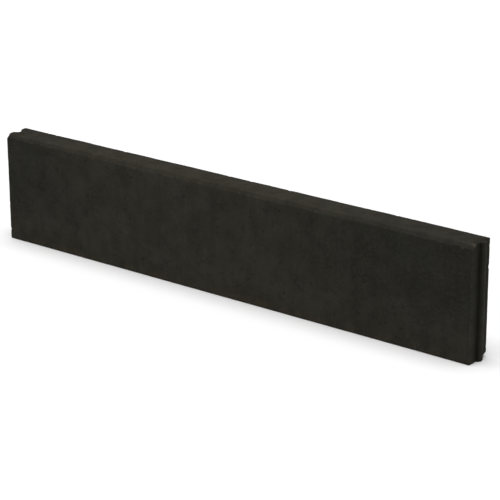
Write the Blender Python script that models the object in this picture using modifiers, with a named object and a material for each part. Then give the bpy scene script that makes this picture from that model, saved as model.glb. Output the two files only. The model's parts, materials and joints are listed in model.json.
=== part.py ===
"""Precast concrete edging unit, 1000 x 200 x 50 mm, with a tongue on one end and a groove on the other.

The unit is one casting. Its plan outline, with the tongue and the groove, is drawn flat and extruded
to the full height, the long edge between the front face and the top is then cut to a chamfer, and
every arris is eased by a small bevel, as the mould leaves it.

Frame: +X along the unit towards the tongue, -Y out of the chamfered front face, +Z up.
The origin is at the centre of the bounding box, on the ground.
"""
import math

import bpy
import bmesh
from mathutils import Vector

# Driving dimensions, in metres
LAYING_LENGTH = 1.000       # groove-end face to tongue-end shoulder
HEIGHT = 0.200
THICKNESS = 0.050
TOP_CHAMFER = 0.006         # 45 degree cut along the front top edge
JOINT_SETBACK = 0.028       # front face to the centre line of the tongue and the groove
TONGUE_PROUD = 0.006
TONGUE_WIDTH = 0.016        # at its root
GROOVE_DEPTH = 0.009
GROOVE_WIDTH = 0.0175       # at its mouth
ARRIS = 0.0010              # easing of every edge

# Modelling settings
ARC_STEPS = 12
ARRIS_SEGMENTS = 2
ARRIS_MIN_ANGLE = math.radians(30)
WELD_DISTANCE = 0.00001
FLAT_ANGLE = math.radians(0.5)
CUTTER_MARGIN = 0.010       # how far the chamfer cutter runs past the unit

# Places that follow from the dimensions
TOTAL_LENGTH = LAYING_LENGTH + TONGUE_PROUD
GROOVE_END_X = -TOTAL_LENGTH / 2
SHOULDER_X = GROOVE_END_X + LAYING_LENGTH
FRONT_Y = -THICKNESS / 2
BACK_Y = THICKNESS / 2
JOINT_Y = FRONT_Y + JOINT_SETBACK

CONCRETE_COLOUR = (0.030, 0.028, 0.023, 1.0)


def clear_scene():
    for obj in list(bpy.data.objects):
        bpy.data.objects.remove(obj, do_unlink=True)


def make_collection(name):
    collection = bpy.data.collections.new(name)
    bpy.context.scene.collection.children.link(collection)
    return collection


def make_material(name, colour, roughness):
    material = bpy.data.materials.new(name)
    material.use_nodes = True
    shader = material.node_tree.nodes["Principled BSDF"]
    shader.inputs["Base Color"].default_value = colour
    shader.inputs["Roughness"].default_value = roughness
    shader.inputs["Metallic"].default_value = 0.0
    return material


def half_round(face_x, reach, width):
    """One end's tongue or groove in plan: half an ellipse, from its front root to its back root."""
    points = []
    for step in range(ARC_STEPS + 1):
        angle = math.pi * step / ARC_STEPS
        points.append(Vector((
            face_x + reach * math.sin(angle),
            JOINT_Y - width / 2 * math.cos(angle),
        )))
    return points


def plan_outline():
    """The unit seen from above, anticlockwise from the front corner of the groove end."""
    tongue = half_round(SHOULDER_X, TONGUE_PROUD, TONGUE_WIDTH)
    groove = half_round(GROOVE_END_X, GROOVE_DEPTH, GROOVE_WIDTH)
    return [
        Vector((GROOVE_END_X, FRONT_Y)),
        Vector((SHOULDER_X, FRONT_Y)),
        *tongue,
        Vector((SHOULDER_X, BACK_Y)),
        Vector((GROOVE_END_X, BACK_Y)),
        *reversed(groove),
    ]


def extrude_outline(name, points, thickness, location, rotation, collection):
    """A flat outline, extruded both ways by half the thickness, as a closed mesh object."""
    curve = bpy.data.curves.new(name + "_outline", "CURVE")
    curve.dimensions = "2D"
    curve.fill_mode = "BOTH"
    curve.extrude = thickness / 2
    spline = curve.splines.new("POLY")
    spline.points.add(len(points) - 1)
    for spline_point, point in zip(spline.points, points):
        spline_point.co = (point[0], point[1], 0.0, 1.0)
    spline.use_cyclic_u = True
    drawing = bpy.data.objects.new(name + "_outline", curve)
    drawing.location = location
    drawing.rotation_euler = rotation
    collection.objects.link(drawing)
    bpy.context.view_layer.update()

    evaluated = drawing.evaluated_get(bpy.context.evaluated_depsgraph_get())
    mesh = bpy.data.meshes.new_from_object(evaluated)
    mesh.name = name
    welded = bmesh.new()
    welded.from_mesh(mesh)
    bmesh.ops.remove_doubles(welded, verts=welded.verts, dist=WELD_DISTANCE)
    # The caps come as thin triangles, and one flat face each lets the bevel run cleanly round them
    bmesh.ops.dissolve_limit(
        welded, angle_limit=FLAT_ANGLE, verts=welded.verts, edges=welded.edges
    )
    bmesh.ops.recalc_face_normals(welded, faces=welded.faces)
    welded.to_mesh(mesh)
    welded.free()

    solid = bpy.data.objects.new(name, mesh)
    solid.matrix_world = drawing.matrix_world.copy()
    collection.objects.link(solid)
    bpy.data.objects.remove(drawing, do_unlink=True)
    bpy.data.curves.remove(curve)
    return solid


def chamfer_cutter(collection):
    """A wedge along the whole front top edge. Its long side is the chamfer's own plane."""
    reach = TOP_CHAMFER + CUTTER_MARGIN
    wedge = [(-reach, -reach), (reach, reach), (-reach, reach)]
    cutter = extrude_outline(
        "chamfer_cutter",
        wedge,
        TOTAL_LENGTH + 2 * CUTTER_MARGIN,
        (0.0, FRONT_Y + TOP_CHAMFER / 2, HEIGHT - TOP_CHAMFER / 2),
        (math.pi / 2, 0.0, math.pi / 2),
        collection,
    )
    cutter.hide_render = True
    cutter.display_type = "WIRE"
    return cutter


def edging_unit(collection, cutters):
    unit = extrude_outline(
        "edging_unit", plan_outline(), HEIGHT, (0.0, 0.0, HEIGHT / 2), (0.0, 0.0, 0.0), collection
    )
    unit.data.materials.clear()
    unit.data.materials.append(make_material("charcoal_concrete", CONCRETE_COLOUR, 0.85))

    chamfer = unit.modifiers.new("front_top_chamfer", "BOOLEAN")
    chamfer.operation = "DIFFERENCE"
    chamfer.solver = "EXACT"
    chamfer.object = chamfer_cutter(cutters)

    easing = unit.modifiers.new("eased_arrises", "BEVEL")
    easing.width = ARRIS
    easing.segments = ARRIS_SEGMENTS
    easing.limit_method = "ANGLE"
    easing.angle_limit = ARRIS_MIN_ANGLE
    return unit


def main():
    clear_scene()
    edging_unit(make_collection("concrete_edging_unit"), make_collection("cutters"))


main()
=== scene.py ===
"""Looks of a precast charcoal concrete edging unit, standing on a pale studio floor.

The one CAD solid is replaced by a finer casting of the same shape and size. Its arrises are eased and
worn unevenly, with small chips and three knocked-off corners. Its faces are slightly uneven, with air
pores in them.
"""
import json
import math

import bmesh
import bpy
import numpy as np
from mathutils import Matrix, Vector, geometry, noise


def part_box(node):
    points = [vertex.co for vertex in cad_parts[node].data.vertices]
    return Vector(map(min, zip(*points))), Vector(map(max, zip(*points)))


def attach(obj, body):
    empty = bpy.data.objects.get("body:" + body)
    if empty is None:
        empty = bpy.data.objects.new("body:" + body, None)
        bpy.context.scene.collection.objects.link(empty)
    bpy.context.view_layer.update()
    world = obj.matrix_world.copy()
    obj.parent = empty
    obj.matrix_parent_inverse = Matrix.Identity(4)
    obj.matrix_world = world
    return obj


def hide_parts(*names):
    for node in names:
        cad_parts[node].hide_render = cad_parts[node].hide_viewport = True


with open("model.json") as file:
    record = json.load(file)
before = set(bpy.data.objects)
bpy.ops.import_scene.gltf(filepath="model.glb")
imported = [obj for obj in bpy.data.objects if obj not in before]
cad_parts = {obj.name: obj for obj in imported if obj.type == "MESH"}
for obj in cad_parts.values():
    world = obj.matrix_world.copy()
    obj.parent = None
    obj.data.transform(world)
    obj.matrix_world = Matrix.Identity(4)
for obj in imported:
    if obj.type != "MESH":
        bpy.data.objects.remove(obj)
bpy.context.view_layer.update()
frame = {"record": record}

NODE = "edging_unit"
MM = 0.001
LOW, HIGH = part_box(NODE)
HEIGHT = HIGH.z - LOW.z
mount_at = {m["name"]: Vector(m["pos_m"]) for m in frame["record"]["mounts"]}
SHOULDER_X = mount_at["tongue_end_shoulder"].x

# The same joint and chamfer as the CAD model
TOP_CHAMFER = 6.0 * MM
JOINT_Y = LOW.y + 28.0 * MM
TONGUE_WIDTH = 16.0 * MM
GROOVE_WIDTH, GROOVE_DEPTH = 17.5 * MM, 9.0 * MM
ARC_STEPS = 24

# Points on the surface: how close they lie, and how far from an arris they thin out
STEP = 1.25 * MM
LATTICE_GAP = 0.6 * STEP
FINE_DEPTH, MEDIUM_DEPTH = 5 * STEP, 11 * STEP
WELD_DISTANCE = 0.01 * MM

# Wear of the arrises
UPRIGHT_ARRIS = 1.0 * MM                        # rounding of the upright arrises
LEVEL_ARRIS = (0.5 * MM, 1.6 * MM)              # least and most rounding of the long arrises
LEVEL_ARRIS_SPAN = 45 * MM                      # length over which that rounding changes
CHIP_DEPTH_MM = (0.5, 1.3)                      # the least, and how much more at most
CHIP_RADIUS_MM = (4.0, 5.0)                     # the same
CHIP_ROUGHNESS, CHIP_BUMPS = 0.30 * MM, 4 * MM  # height and size of the bumps in a chip

# Unevenness of the faces: its height and size, slow and fine, and how deep the faces lie on average
SWELL, SWELL_SIZE = 0.22 * MM, 90 * MM
RIPPLE, RIPPLE_SIZE = 0.08 * MM, 9 * MM
SURFACE_INSET = 0.05 * MM

# Air pores
PORES_PER_M2 = 450
PORE_RADIUS_MM = (0.55, 1.5)                    # the least, and how much more at most
PORE_HEIGHT = 1.35                              # height over width of a pore in an upright face
PORE_DEPTH = 0.9                                # over its radius
FULL_PORE_DEPTH = 0.8 * MM                      # painted shade in a pore is darkest from this depth on
PORE_UNEVEN = 0.12                              # how much its rim's radius varies, over the mean
PORE_TO_ARRIS = 4 * STEP
PORE_SPACING = 2.5                              # least gap between centres, over the sum of both radii
PORE_RINGS = ((1.3, 9), (1.0, 9), (0.84, 9), (0.45, 5), (0.0, 1))  # share of the radius, and points

# How often the surface is brought to its place, evened out, and unfolded
SETTLE_PASSES, EVEN_PASSES, UNFOLD_PASSES = 4, 4, 8
FOLD_ANGLE = math.radians(95)
SHARP_ANGLE = math.radians(62)                  # edges that turn more than this are shaded sharp
SEED = 7


# ---------------------------------------------------------------- plan outline
def half_round(face_x, reach, width):
    """The tongue or the groove seen from above, from its front root to its back root."""
    angles = np.linspace(0, math.pi, ARC_STEPS + 1)
    return np.stack([
        face_x + reach * np.sin(angles), JOINT_Y - width / 2 * np.cos(angles)
    ], 1)


def plan_walls():
    """Each wall of the unit seen from above, anticlockwise from the front face."""
    tongue = half_round(SHOULDER_X, HIGH.x - SHOULDER_X, TONGUE_WIDTH)
    groove = half_round(LOW.x, GROOVE_DEPTH, GROOVE_WIDTH)[::-1]
    front = np.array([(LOW.x, LOW.y), (SHOULDER_X, LOW.y)])
    back = np.array([(SHOULDER_X, HIGH.y), (LOW.x, HIGH.y)])
    corners = [front, tongue, back, groove]
    walls = []
    for wall, following in zip(corners, corners[1:] + corners[:1]):
        walls += [wall, np.array([wall[-1], following[0]])]
    return walls


def plan_corners():
    return np.vstack([wall[:-1] for wall in plan_walls()])


def inset(corners, by):
    """The outline moved inwards by a distance, with mitred corners."""
    along = np.roll(corners, -1, 0) - corners
    along /= np.linalg.norm(along, axis=1)[:, None]
    inward = np.stack([-along[:, 1], along[:, 0]], 1)
    before = np.roll(inward, 1, 0)
    mitre = (inward + before) / (1 + (inward * before).sum(1))[:, None]
    return corners + mitre * by


def outline_distance(points, corners):
    """Signed distance from points to the outline, negative inside."""
    nearest = np.full(len(points), np.inf)
    inside = np.zeros(len(points), bool)
    for a, b in zip(corners, np.roll(corners, -1, 0)):
        edge, offset = b - a, points - a
        share = np.clip(offset @ edge / (edge @ edge), 0, 1)
        nearest = np.minimum(nearest, np.linalg.norm(offset - share[:, None] * edge, axis=1))
        crosses = (a[1] > points[:, 1]) != (b[1] > points[:, 1])
        if edge[1]:
            crosses &= points[:, 0] < a[0] + edge[0] * (points[:, 1] - a[1]) / edge[1]
            inside ^= crosses
    return np.where(inside, -nearest, nearest)


# ---------------------------------------------------------------- surface points
def divisions(length):
    return max(1, round(float(length) / STEP))


class Wall:
    """An upright face, flat or curved. Its points are (distance along the plan outline, height)."""

    pore_shape = np.array([1.0, PORE_HEIGHT])

    def __init__(self, outline):
        self.outline = outline
        self.along = np.concatenate([[0], np.cumsum(np.linalg.norm(np.diff(outline, axis=0), axis=1))])
        self.width = self.along[-1]

    def plan(self, distance):
        return np.stack([np.interp(distance, self.along, c) for c in self.outline.T], 1)

    def divided_plan(self):
        return self.plan(np.linspace(0, self.width, divisions(self.width) + 1))

    def border(self):
        across = np.linspace(0, self.width, divisions(self.width) + 1)[:-1]
        up = np.linspace(0, HEIGHT, divisions(HEIGHT) + 1)[:-1]
        return np.vstack([
            np.stack([across, 0 * across], 1),
            np.stack([0 * up + self.width, up], 1),
            np.stack([self.width - across, 0 * across + HEIGHT], 1),
            np.stack([0 * up, HEIGHT - up], 1),
        ])

    def edge_distance(self, flat):
        return np.minimum.reduce([
            flat[:, 0], self.width - flat[:, 0], flat[:, 1], HEIGHT - flat[:, 1]
        ])

    def lift(self, flat):
        return np.column_stack([self.plan(flat[:, 0]), LOW.z + flat[:, 1]])

    def normal(self, flat):
        ahead, behind = self.plan(flat[:, 0] + STEP / 2), self.plan(flat[:, 0] - STEP / 2)
        along = ahead - behind
        outward = np.stack([along[:, 1], -along[:, 0], 0 * along[:, 0]], 1)
        return outward / np.linalg.norm(outward, axis=1)[:, None]


class Cap:
    """The top or the underside. Its points are plan positions inside the whole outline."""

    pore_shape = np.array([1.0, 1.0])

    def __init__(self, walls, level, upwards):
        self.outline = np.vstack([wall.divided_plan()[:-1] for wall in walls])
        self.level, self.upwards = level, 1.0 if upwards else -1.0

    def border(self):
        return self.outline

    def edge_distance(self, flat):
        return -outline_distance(flat, plan_corners())

    def lift(self, flat):
        return np.column_stack([flat, np.full(len(flat), self.level)])

    def normal(self, flat):
        return np.tile((0.0, 0.0, self.upwards), (len(flat), 1))


def lattice(face, border):
    """Inner points: every one near the border, every second a little further in, every fourth beyond."""
    low, high = border.min(0), border.max(0)
    count = np.maximum(1, np.round((high - low) / STEP)).astype(int)
    i, j = (g.ravel() for g in np.meshgrid(*(np.arange(n + 1) for n in count), indexing="ij"))
    flat = low + np.stack([i, j], 1) / count * (high - low)
    depth = face.edge_distance(flat)
    kept = depth > LATTICE_GAP
    kept &= (depth < FINE_DEPTH) | ((i % 2 == 0) & (j % 2 == 0))
    kept &= (depth < MEDIUM_DEPTH) | ((i % 4 == 0) & (j % 4 == 0))
    return flat[kept]


def pores_on(face, border, random):
    """Random pores on a face, as (flat centre, radius), clear of its border and of one another."""
    low, high = border.min(0), border.max(0)
    count = int(PORES_PER_M2 * np.prod(high - low))
    centres = low + random.random((count, 2)) * (high - low)
    least, extra = PORE_RADIUS_MM
    radii = (least + extra * random.random(count) ** 4) * MM
    clear = face.edge_distance(centres) > PORE_TO_ARRIS + radii
    pores = []
    for centre, radius in zip(centres[clear], radii[clear]):
        if all(np.hypot(*(centre - c)) > PORE_SPACING * (radius + r) for c, r in pores):
            pores.append((centre, radius))
    return pores


def with_pore_rings(flat, pores, shape, random):
    """The points of a face with those at each pore exchanged for rings round its centre."""
    outermost = PORE_RINGS[0][0]
    rings = []
    for centre, radius in pores:
        flat = flat[np.hypot(*((flat - centre) / shape).T) > outermost * radius + 0.5 * STEP]
        turn = random.random() * math.tau
        for share, count in PORE_RINGS:
            for k in range(count):
                angle = turn + math.tau * k / count
                uneven = 1 + PORE_UNEVEN * (random.random() - 0.5)
                offset = share * radius * uneven * np.array([math.cos(angle), math.sin(angle)])
                rings.append(centre + offset * shape)
    return np.vstack([flat, *[r[None] for r in rings]]) if rings else flat


def triangulate(face, border, inner):
    """The face's points in space, and the triangles between them."""
    inside_only, tolerance = 1, 1e-9
    points = [Vector(p) for p in (*border, *inner)]
    loop = [(k, (k + 1) % len(border)) for k in range(len(border))]
    points, _, triangles, *_ = geometry.delaunay_2d_cdt(points, loop, [], inside_only, tolerance)
    flat = np.array([tuple(p) for p in points])
    return face.lift(flat), [tuple(t) for t in triangles]


# ---------------------------------------------------------------- the sharp and the worn solid
def fractal(points, size, octaves, seed):
    """Smooth noise, about -1 to 1, with features of the given size."""
    fade, octave_ratio = 0.9, 2.0
    shift = Vector((seed * 17.3, seed * 5.1, seed * 9.7))
    return np.array([
        noise.fractal(Vector(p) / size + shift, fade, octave_ratio, octaves) for p in points
    ])


def level_distance(points):
    """Signed distance to the slab of space between the underside and the top."""
    return np.abs(points[:, 2] - LOW.z - HEIGHT / 2) - HEIGHT / 2


def chamfer_distance(points):
    """Signed distance to the plane of the chamfer."""
    return (LOW.y - points[:, 1] + points[:, 2] - HIGH.z + TOP_CHAMFER) * math.sqrt(0.5)


def crisp_distance(points):
    """Signed distance to the unit with every arris sharp."""
    plan = outline_distance(points[:, :2], plan_corners())
    return np.maximum(np.maximum(plan, level_distance(points)), chamfer_distance(points))


def round_join(a, b, radius):
    """Signed distance to what two solids share, with the edge between them rounded."""
    outer = np.hypot(np.maximum(a + radius, 0), np.maximum(b + radius, 0))
    return np.minimum(np.maximum(a, b), -radius) + outer


def arris_places(random):
    """Random places along every arris, as (place, outward direction)."""
    chamfer_top, chamfer_foot = LOW.y + TOP_CHAMFER, HIGH.z - TOP_CHAMFER
    diagonal, steep, flat_on = math.sqrt(0.5), math.cos(math.pi / 8), math.sin(math.pi / 8)
    # y, z, outward direction, number of places
    long_arrises = [
        (chamfer_top, HIGH.z, (0, -flat_on, steep), 16),
        (LOW.y, chamfer_foot, (0, -steep, flat_on), 16),
        (HIGH.y, HIGH.z, (0, diagonal, diagonal), 20),
        (LOW.y, LOW.z, (0, -diagonal, -diagonal), 22),
        (HIGH.y, LOW.z, (0, diagonal, -diagonal), 22),
    ]
    # x, y, outward direction, number of places
    upright_arrises = [
        (SHOULDER_X, LOW.y, (diagonal, -diagonal, 0), 5),
        (SHOULDER_X, HIGH.y, (diagonal, diagonal, 0), 5),
        (LOW.x, LOW.y, (-diagonal, -diagonal, 0), 5),
        (LOW.x, HIGH.y, (-diagonal, diagonal, 0), 5),
        (LOW.x, JOINT_Y - GROOVE_WIDTH / 2, (-diagonal, diagonal, 0), 4),
        (LOW.x, JOINT_Y + GROOVE_WIDTH / 2, (-diagonal, -diagonal, 0), 4),
    ]
    places = []
    for y, z, outward, count in long_arrises:
        for x in LOW.x + random.random(count) * (SHOULDER_X - LOW.x):
            places.append(((x, y, z), outward))
    for x, y, outward, count in upright_arrises:
        for z in LOW.z + random.random(count) * (HEIGHT - TOP_CHAMFER):
            places.append(((x, y, z), outward))
    return places


def arris_chips(random):
    """Small scoops out of the arrises, as (centre, three radii)."""
    least_depth, extra_depth = CHIP_DEPTH_MM
    least_radius, extra_radius = CHIP_RADIUS_MM
    chips = []
    for place, outward in arris_places(random):
        depth = (least_depth + extra_depth * random.random() ** 3) * MM
        radius = (least_radius + extra_radius * random.random()) * MM
        centre = np.array(place) + np.array(outward) * (radius - depth)
        chips.append((centre, np.full(3, radius)))
    return chips


def knocked_off_corners():
    """Larger scoops for three corners. Each crosses every arris one reach away from its corner."""
    centre_out, radius = 0.8, 2.126     # both in reaches
    corners = [
        # corner, which way it points, reach along x, y and z in mm
        ((SHOULDER_X, HIGH.y, LOW.z), (1, 1, -1), (22.0, 13.0, 7.5)),
        ((LOW.x, LOW.y, HIGH.z), (-1, -1, 1), (4.0, 9.0, 9.0)),
        ((LOW.x, JOINT_Y + GROOVE_WIDTH / 2, HIGH.z), (-1, -1, 1), (2.5, 2.5, 3.0)),
    ]
    scoops = []
    for corner, outward, reach in corners:
        reach = np.array(reach) * MM
        scoops.append((np.array(corner) + centre_out * reach * outward, radius * reach))
    return scoops


class WornSolid:
    """The unit as a signed distance, with every arris eased and chipped."""

    def __init__(self, chips):
        self.outline = inset(plan_corners(), UPRIGHT_ARRIS)
        self.chips = chips

    def distance(self, points, wear, chip_edge):
        plan = outline_distance(points[:, :2], self.outline) - UPRIGHT_ARRIS
        solid = round_join(plan, level_distance(points), wear)
        solid = round_join(solid, chamfer_distance(points), wear)
        for centre, radii in self.chips:
            inside = 1 - np.linalg.norm((points - centre) / radii, axis=1)
            solid = np.maximum(solid, radii.min() * inside + chip_edge)
        return solid

    def settle(self, points, edges):
        """Moves the points of the sharp solid on to the worn one, and spaces them evenly on its arrises."""
        contrast, on_arris_depth, evening = 1.6, 0.04 * MM, 0.6
        low, high = LEVEL_ARRIS
        middle, half = (low + high) / 2, (high - low) / 2
        wear = middle + half * np.clip(contrast * fractal(points, LEVEL_ARRIS_SPAN, 3, SEED), -1, 1)
        chip_edge = CHIP_ROUGHNESS * fractal(points, CHIP_BUMPS, 2, SEED + 1)
        for _ in range(SETTLE_PASSES):
            points = self.nearer(points, wear, chip_edge)
        neighbours = np.bincount(edges.ravel(), minlength=len(points))[:, None]
        for _ in range(EVEN_PASSES):
            total = np.zeros_like(points)
            np.add.at(total, edges[:, 0], points[edges[:, 1]])
            np.add.at(total, edges[:, 1], points[edges[:, 0]])
            even = (1 - evening) * points + evening * total / neighbours
            on_arris = crisp_distance(points) < -on_arris_depth
            points = np.where(on_arris[:, None], even, points)
            points = self.nearer(points, wear, chip_edge)
        return points

    def nearer(self, points, wear, chip_edge):
        """One step of each point down the distance's slope, to the worn surface."""
        reach, least_slope = 0.05 * MM, 0.25
        here = self.distance(points, wear, chip_edge)
        slope = np.stack([
            self.distance(points + reach * axis, wear, chip_edge) - here for axis in np.eye(3)
        ], 1) / reach
        steep = np.maximum((slope ** 2).sum(1), least_slope)
        return points - slope * (here / steep)[:, None]


# ---------------------------------------------------------------- mesh data
def read_points(mesh):
    points = np.empty(len(mesh.vertices) * 3)
    mesh.vertices.foreach_get("co", points)
    return points.reshape(-1, 3)


def read_edges(mesh):
    edges = np.empty(len(mesh.edges) * 2, int)
    mesh.edges.foreach_get("vertices", edges)
    return edges.reshape(-1, 2)


def read_normals(mesh):
    normals = np.empty(len(mesh.vertices) * 3)
    mesh.vertices.foreach_get("normal", normals)
    return normals.reshape(-1, 3)


def write_points(mesh, points):
    mesh.vertices.foreach_set("co", points.astype(np.float32).ravel())
    mesh.update()


def keep_attribute(mesh, name, values):
    attribute = mesh.attributes.new(name, "FLOAT", "POINT")
    attribute.data.foreach_set("value", values.astype(np.float32))


# ---------------------------------------------------------------- the casting's mesh
def sharp_casting(random):
    """The sharp unit as one closed mesh, and its pores as (centre, radius, outward normal)."""
    walls = [Wall(outline) for outline in plan_walls()]
    faces = [*walls, Cap(walls, HIGH.z, True), Cap(walls, LOW.z, False)]
    chunks, triangles, pores, first = [], [], [], 0
    for face in faces:
        border = face.border()
        spots = pores_on(face, border, random)
        inner = with_pore_rings(lattice(face, border), spots, face.pore_shape, random)
        points, polygons = triangulate(face, border, inner)
        pores += [(face.lift(c[None])[0], r, face.normal(c[None])[0]) for c, r in spots]
        chunks.append(points)
        triangles += [tuple(k + first for k in t) for t in polygons]
        first += len(points)

    shape = bmesh.new()
    for point in np.vstack(chunks):
        shape.verts.new(point)
    shape.verts.ensure_lookup_table()
    for t in triangles:
        shape.faces.new([shape.verts[k] for k in t])
    bmesh.ops.remove_doubles(shape, verts=shape.verts, dist=WELD_DISTANCE)
    bmesh.ops.recalc_face_normals(shape, faces=shape.faces)
    mesh = bpy.data.meshes.new("casting")
    shape.to_mesh(mesh)
    shape.free()
    return mesh, pores


def sink_pores(surface, worn, pores):
    """The surface with its pores pressed in, and how deep each of its points went."""
    depth = np.zeros(len(worn))
    for centre, radius, normal in pores:
        across = np.linalg.norm((worn - centre) / (1, 1, PORE_HEIGHT), axis=1) / radius
        sunk = PORE_DEPTH * radius * np.sqrt(np.clip(1 - across ** 2, 0, 1))
        surface = surface - sunk[:, None] * normal
        depth = np.maximum(depth, sunk)
    return surface, depth


def unfold(mesh):
    """Smooths the few places, at the rims of chips, where triangles fold back over their neighbours."""
    shape = bmesh.new()
    shape.from_mesh(mesh)
    for _ in range(UNFOLD_PASSES):
        shape.normal_update()
        folded = {v for e in shape.edges if e.calc_face_angle(0.0) > FOLD_ANGLE for v in e.verts}
        around = folded | {e.other_vert(v) for v in folded for e in v.link_edges}
        bmesh.ops.smooth_vert(
            shape, verts=list(around), factor=0.5, use_axis_x=True, use_axis_y=True, use_axis_z=True
        )
    shape.to_mesh(mesh)
    shape.free()


def arris_wear(points):
    """1 where an arris is rubbed, less in the depth of a chip, 0 on the faces."""
    worn_off_mm = -crisp_distance(points) / MM
    rubbed = np.clip(worn_off_mm / 0.35, 0, 1)          # whole from 0.35 mm
    chipped = np.clip((worn_off_mm - 0.5) / 0.4, 0, 1)  # from 0.5 to 0.9 mm
    return rubbed - 0.7 * chipped


def painted_recess_shade(points):
    """Where shade is painted: 1 in the corners beside the tongue and in the depth of the groove, 0 on the
    open faces.
    """
    reach_on_tongue, reach_on_shoulder = 5.5 * MM, 9.0 * MM
    strength = 1.3              # over 1, so that it stays whole close to the root
    groove_margin = 1.08        # takes in the groove's own wall, which is slightly uneven
    roots = [(SHOULDER_X, JOINT_Y - TONGUE_WIDTH / 2), (SHOULDER_X, JOINT_Y + TONGUE_WIDTH / 2)]
    near = np.minimum.reduce([np.linalg.norm(points[:, :2] - np.array(r), axis=1) for r in roots])
    on_tongue = points[:, 0] > SHOULDER_X + 0.3 * MM
    reach = np.where(on_tongue, reach_on_tongue, reach_on_shoulder)
    beside_tongue = np.minimum(strength * np.exp(-(near / reach) ** 2), 1)
    depth = (points[:, 0] - LOW.x) / GROOVE_DEPTH
    across = (points[:, 1] - JOINT_Y) / (GROOVE_WIDTH / 2)
    in_groove = np.where(depth ** 2 + across ** 2 < groove_margin, np.clip(depth, 0, 1), 0)
    return np.maximum(beside_tongue, in_groove)


def scuffs(points):
    """1 at the pale scuffed corners of the tongue end's top, 0 a little way off."""
    spots = [
        # centre, and how far it reaches along x, y and z
        ((SHOULDER_X - 4.0 * MM, LOW.y + TOP_CHAMFER, HIGH.z), (8.0 * MM, 3.5 * MM, 3.5 * MM)),
        ((SHOULDER_X - 1.0 * MM, JOINT_Y - 6.0 * MM, HIGH.z), (4.0 * MM, 4.0 * MM, 3.0 * MM)),
    ]
    return np.maximum.reduce([
        np.exp(-(((points - np.array(centre)) / np.array(reach)) ** 2).sum(1)) for centre, reach in spots
    ])


def build_casting():
    """The casting's mesh, with what the material needs to know of each point kept as attributes."""
    random = np.random.default_rng(SEED)
    mesh, pores = sharp_casting(random)
    chips = arris_chips(random) + knocked_off_corners()
    worn = WornSolid(chips).settle(read_points(mesh), read_edges(mesh))
    write_points(mesh, worn)

    swell = SWELL * fractal(worn, SWELL_SIZE, 3, SEED + 2)
    ripple = RIPPLE * fractal(worn, RIPPLE_SIZE, 3, SEED + 3)
    surface = worn + read_normals(mesh) * (swell + ripple - SURFACE_INSET)[:, None]
    surface, depth = sink_pores(surface, worn, pores)
    write_points(mesh, surface)
    unfold(mesh)

    keep_attribute(mesh, "arris_wear", arris_wear(worn))
    # painted shade for the corners beside the tongue and the depth of the groove
    keep_attribute(mesh, "painted_recess_shade", painted_recess_shade(worn))
    keep_attribute(mesh, "scuff", scuffs(worn))
    # painted shade for the pores, growing with their depth
    keep_attribute(mesh, "painted_pore_shade", np.clip(depth / FULL_PORE_DEPTH, 0, 1))
    mesh.shade_smooth()
    mesh.set_sharp_from_angle(angle=SHARP_ANGLE)
    return mesh


# ---------------------------------------------------------------- material
class Nodes:
    """Short calls for building a node tree."""

    def __init__(self, tree):
        self.tree = tree

    def add(self, kind, **settings):
        node = self.tree.nodes.new(kind)
        for key, value in settings.items():
            setattr(node, key, value)
        return node

    def link(self, source, target):
        self.tree.links.new(source, target)

    def put(self, value, socket):
        if isinstance(value, bpy.types.NodeSocket):
            self.link(value, socket)
        else:
            socket.default_value = value

    def math(self, operation, a, b=0.0):
        node = self.add("ShaderNodeMath", operation=operation)
        self.put(a, node.inputs[0])
        self.put(b, node.inputs[1])
        return node.outputs[0]

    def times(self, a, b):
        return self.math("MULTIPLY", a, b)

    def spread(self, value, low, high, to_low=0.0, to_high=1.0):
        """A smooth step from to_low to to_high, while the value goes from low to high."""
        node = self.add("ShaderNodeMapRange", interpolation_type="SMOOTHSTEP")
        for socket, number in zip(node.inputs, (value, low, high, to_low, to_high)):
            self.put(number, socket)
        return node.outputs[0]

    def split(self, vector):
        node = self.add("ShaderNodeSeparateXYZ")
        self.put(vector, node.inputs[0])
        return node.outputs["X"], node.outputs["Y"], node.outputs["Z"]

    def stretched(self, vector, scale):
        node = self.add("ShaderNodeMapping")
        self.put(vector, node.inputs["Vector"])
        node.inputs["Scale"].default_value = scale
        return node.outputs[0]

    def cloud(self, vector, scale, detail=3.0, roughness=0.55):
        node = self.add("ShaderNodeTexNoise")
        self.put(vector, node.inputs["Vector"])
        node.inputs["Scale"].default_value = scale
        node.inputs["Detail"].default_value = detail
        node.inputs["Roughness"].default_value = roughness
        return node.outputs["Fac"]

    def cells(self, vector, scale):
        """Small round grains: how far a point is from its grain's middle, and the grain's random colour."""
        node = self.add("ShaderNodeTexVoronoi", feature="F1")
        self.put(vector, node.inputs["Vector"])
        node.inputs["Scale"].default_value = scale
        return node.outputs["Distance"], node.outputs["Color"]

    def blend(self, share, a, b):
        node = self.add("ShaderNodeMix", data_type="RGBA")
        self.put(share, node.inputs[0])
        self.put(a, node.inputs[6])
        self.put(b, node.inputs[7])
        return node.outputs[2]

    def attribute(self, name):
        return self.add("ShaderNodeAttribute", attribute_name=name).outputs["Fac"]


class Concrete(Nodes):
    """A node tree with the places and patterns that several layers of the concrete share."""

    def __init__(self, tree):
        super().__init__(tree)
        self.place = self.add("ShaderNodeTexCoord").outputs["Object"]
        self.x, _, self.z = self.split(self.place)
        *_, self.upward = self.split(self.add("ShaderNodeNewGeometry").outputs["True Normal"])
        self.mottle = self.spread(self.cloud(self.place, 30.0, 6.0, 0.62), 0.36, 0.66)
        self.blots = self.spread(self.cloud(self.place, 120.0, 4.0, 0.65), 0.38, 0.68)

        self.sand, sand_colour = self.cells(self.place, 750.0)
        parts = self.add("ShaderNodeSeparateColor")
        self.put(sand_colour, parts.inputs[0])
        self.sand_shade = parts.outputs[0]

        pin, _ = self.cells(self.place, 380.0)
        in_places = self.math("GREATER_THAN", self.cloud(self.place, 160.0, 2.0), 0.60)
        self.pinholes = self.times(self.spread(pin, 0.10, 0.24, 1.0, 0.0), in_places)


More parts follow.
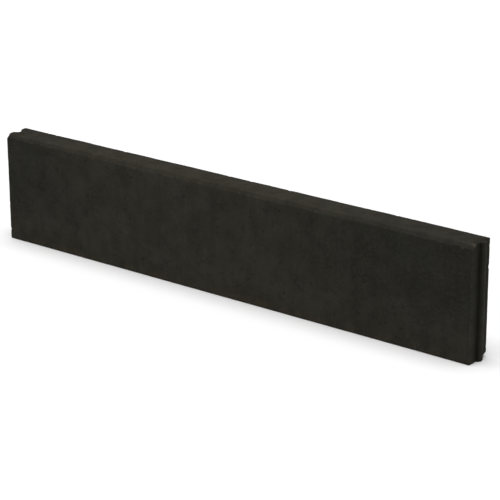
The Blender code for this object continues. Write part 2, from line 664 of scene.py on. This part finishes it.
# Each layer of the concrete's colour is (pattern, strength, linear colour), and lies over those before it
def broad_layers(n):
    """Slow changes over the whole unit. Places along x and z are in metres."""
    clouds = n.spread(n.cloud(n.place, 8.0, 3.0), 0.32, 0.68)
    upright = n.spread(n.upward, 0.2, 0.8, 1.0, 0.0)
    middle = n.spread(n.math("ABSOLUTE", n.math("ADD", n.x, 0.07)), 0.08, 0.38, 1.0, 0.0)
    middle = n.times(middle, upright)
    # painted light: the upright faces paler just under the chamfer, standing in for the soft shading of a
    # worn arris
    painted_light_under_chamfer = n.times(middle, n.spread(n.z, 0.172, 0.196))
    ends = n.math("ADD", n.spread(n.x, 0.10, 0.46, 0.0, 0.60), n.spread(n.x, -0.48, -0.34, 0.45, 0.0))
    ends = n.times(ends, n.spread(n.z, 0.02, 0.12, 0.35, 1.0))
    low_part = n.spread(n.z, 0.0, 0.12, 1.0, 0.0)

    brown = n.spread(n.cloud(n.stretched(n.place, (7.0, 7.0, 11.0)), 1.0, 3.0), 0.36, 0.58)
    brown_front = n.times(middle, n.spread(low_part, 0.0, 1.0, 0.35, 0.70))
    brown_top = n.spread(n.upward, 0.3, 0.95, 0.0, 0.35)
    brown = n.times(brown, n.math("MAXIMUM", brown_front, brown_top))
    return [
        (clouds, 0.24, (0.0290, 0.0275, 0.0202)),
        (middle, 0.20, (0.0360, 0.0335, 0.0250)),
        (brown, 0.90, (0.0310, 0.0235, 0.0168)),
        # painted light under the chamfer
        (painted_light_under_chamfer, 0.35, (0.0345, 0.0300, 0.0220)),
        (ends, 1.0, (0.0095, 0.0106, 0.0076)),
        (low_part, 0.16, (0.0430, 0.0405, 0.0310)),
    ]


def grain_layers(n):
    """Mottling, upright streaks, dark spots and single grains of sand."""
    streaks = n.spread(n.cloud(n.stretched(n.place, (70.0, 70.0, 6.0)), 1.0, 4.0, 0.6), 0.42, 0.70)
    dark_spots = n.spread(n.cloud(n.place, 95.0, 2.0, 0.5), 0.58, 0.70)
    light_sand = n.spread(n.sand_shade, 0.70, 1.0, 0.0, 0.30)
    dark_sand = n.spread(n.sand_shade, 0.0, 0.30, 0.26, 0.0)
    return [
        (n.mottle, 0.30, (0.0100, 0.0098, 0.0072)),
        (dark_spots, 0.45, (0.0085, 0.0082, 0.0060)),
        (n.blots, 0.30, (0.0360, 0.0335, 0.0255)),
        (streaks, 0.22, (0.0100, 0.0098, 0.0078)),
        (light_sand, 1.0, (0.0420, 0.0390, 0.0310)),
        (dark_sand, 1.0, (0.0070, 0.0068, 0.0054)),
    ]


def mark_layers(n):
    """Dust, rubbed and scuffed places, and painted shade in the recesses, in the pores and in the pinholes.
    """
    dust = n.times(n.spread(n.upward, 0.3, 0.95), n.spread(n.mottle, 0.0, 1.0, 1.0, 0.5))
    specks = n.times(dust, n.spread(n.cloud(n.place, 420.0, 2.0), 0.40, 0.62))
    foot = n.spread(n.z, 0.003, 0.020, 1.0, 0.0)
    foot = n.times(foot, n.spread(n.cloud(n.place, 32.0, 5.0, 0.7), 0.42, 0.60))
    wear = n.times(n.attribute("arris_wear"), n.spread(n.blots, 0.0, 0.8, 0.25, 1.0))
    scuff = n.times(n.attribute("scuff"), n.spread(n.blots, 0.1, 0.7, 0.25, 0.70))
    return [
        (dust, 0.26, (0.0240, 0.0182, 0.0130)),
        (specks, 0.20, (0.0480, 0.0395, 0.0290)),
        (foot, 0.60, (0.0420, 0.0320, 0.0225)),
        (wear, 0.55, (0.0560, 0.0510, 0.0410)),
        (scuff, 1.0, (0.0780, 0.0610, 0.0440)),
        # painted shade: the corners beside the tongue and the depth of the groove darkened
        (n.attribute("painted_recess_shade"), 0.70, (0.0052, 0.0052, 0.0020)),
        # painted shade: each pore darkened by its depth
        (n.attribute("painted_pore_shade"), 0.25, (0.0050, 0.0046, 0.0038)),
        # painted shade: the pinholes darkened
        (n.pinholes, 0.75, (0.0040, 0.0038, 0.0032)),
    ]


def concrete_relief(n):
    """Height of the fine relief, from crumbs and sand to pinholes, for the bump."""
    crumbs = n.times(n.cloud(n.place, 1100.0, 3.0, 0.65), 0.45)
    relief = n.math("ADD", crumbs, n.times(n.cloud(n.place, 200.0, 4.0, 0.6), 0.8))
    relief = n.math("SUBTRACT", relief, n.times(n.sand, 0.25))
    return n.math("SUBTRACT", relief, n.times(n.pinholes, 0.9))


def charcoal_concrete():
    material = bpy.data.materials.new("charcoal_concrete_cast")
    material.use_nodes = True
    n = Concrete(material.node_tree)
    shader = material.node_tree.nodes["Principled BSDF"]

    olive, brown = (0.0188, 0.0187, 0.0126, 1), (0.0212, 0.0194, 0.0138, 1)
    tint = n.spread(n.cloud(n.stretched(n.place, (14.0, 14.0, 9.0)), 1.3, 2.0), 0.35, 0.65)
    colour = n.blend(tint, olive, brown)
    for pattern, strength, shade in (*broad_layers(n), *grain_layers(n), *mark_layers(n)):
        colour = n.blend(n.times(pattern, strength), colour, (*shade, 1))
    n.link(colour, shader.inputs["Base Color"])

    grit = n.math("ADD", n.mottle, n.times(n.sand_shade, 0.5))
    n.link(n.spread(grit, 0.0, 1.5, 0.74, 0.95), shader.inputs["Roughness"])
    shader.inputs["Specular IOR Level"].default_value = 0.10

    bump = n.add("ShaderNodeBump")
    bump.inputs["Strength"].default_value = 0.9
    bump.inputs["Distance"].default_value = 0.7 * MM
    n.link(concrete_relief(n), bump.inputs["Height"])
    n.link(bump.outputs["Normal"], shader.inputs["Normal"])
    return material


def add_casting():
    mesh = build_casting()
    mesh.materials.append(charcoal_concrete())
    casting = bpy.data.objects.new("cast_edging_unit", mesh)
    bpy.context.scene.collection.objects.link(casting)
    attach(casting, "root")
    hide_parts(NODE)


# ---------------------------------------------------------------- studio
FLOOR_GAP = 0.3 * MM        # keeps the floor just clear of the unit's foot
FLOOR_HALF = 30.0
FLOOR_COLOUR = (0.82, 0.82, 0.82, 1)

OVERHEAD_STRENGTH = 3.15
OVERHEAD_SPREAD, OVERHEAD_TILT = math.radians(42), math.radians(4)
HORIZON = (0.05, 0.20)      # heights of a direction between which the surroundings go from pale to dim
PALE, DIM = 0.95, 0.30

CAMERA_AZIMUTH, CAMERA_ELEVATION, CAMERA_ROLL = (math.radians(a) for a in (38.14, 19.74, -0.245))
CAMERA_DISTANCE = 3.5315
CAMERA_LENS_MM = 149.85
CAMERA_AIM = Vector((LOW.x + 0.5428, 0.0, LOW.z + 0.0867))


def add_floor():
    bpy.ops.mesh.primitive_plane_add(size=2 * FLOOR_HALF, location=(0, 0, LOW.z - FLOOR_GAP))
    floor = bpy.context.object
    floor.name = "floor"
    material = bpy.data.materials.new("pale_floor")
    material.use_nodes = True
    shader = material.node_tree.nodes["Principled BSDF"]
    shader.inputs["Base Color"].default_value = FLOOR_COLOUR
    shader.inputs["Roughness"].default_value = 1.0
    shader.inputs["Specular IOR Level"].default_value = 0.0
    floor.data.materials.append(material)


def add_studio_light():
    """One broad soft light overhead, and a dim surrounding that is pale near the horizon."""
    overhead = bpy.data.lights.new("overhead", "SUN")
    overhead.angle = OVERHEAD_SPREAD
    overhead.energy = OVERHEAD_STRENGTH
    lamp = bpy.data.objects.new("overhead", overhead)
    lamp.rotation_euler = (OVERHEAD_TILT, 0.0, 0.0)
    bpy.context.scene.collection.objects.link(lamp)

    world = bpy.data.worlds.new("studio")
    world.use_nodes = True
    n = Nodes(world.node_tree)
    *_, up = n.split(n.add("ShaderNodeTexCoord").outputs["Generated"])
    background = world.node_tree.nodes["Background"]
    n.link(n.spread(up, *HORIZON, PALE, DIM), background.inputs["Strength"])
    background.inputs["Color"].default_value = (1.0, 1.0, 1.0, 1.0)
    bpy.context.scene.world = world


def add_camera():
    camera = bpy.data.objects.new("camera", bpy.data.cameras.new("camera"))
    camera.data.lens = CAMERA_LENS_MM
    camera.data.sensor_width = 36.0
    camera.data.clip_end = 100.0
    level = math.cos(CAMERA_ELEVATION)
    back = Vector((
        math.sin(CAMERA_AZIMUTH) * level, -math.cos(CAMERA_AZIMUTH) * level, math.sin(CAMERA_ELEVATION)
    ))
    turn = back.to_track_quat("Z", "Y").to_matrix().to_4x4() @ Matrix.Rotation(CAMERA_ROLL, 4, "Z")
    camera.matrix_world = Matrix.Translation(CAMERA_AIM + back * CAMERA_DISTANCE) @ turn
    bpy.context.scene.collection.objects.link(camera)
    bpy.context.scene.camera = camera


bpy.context.scene.view_settings.view_transform = "Standard"
add_camera()
add_casting()
add_floor()
add_studio_light()
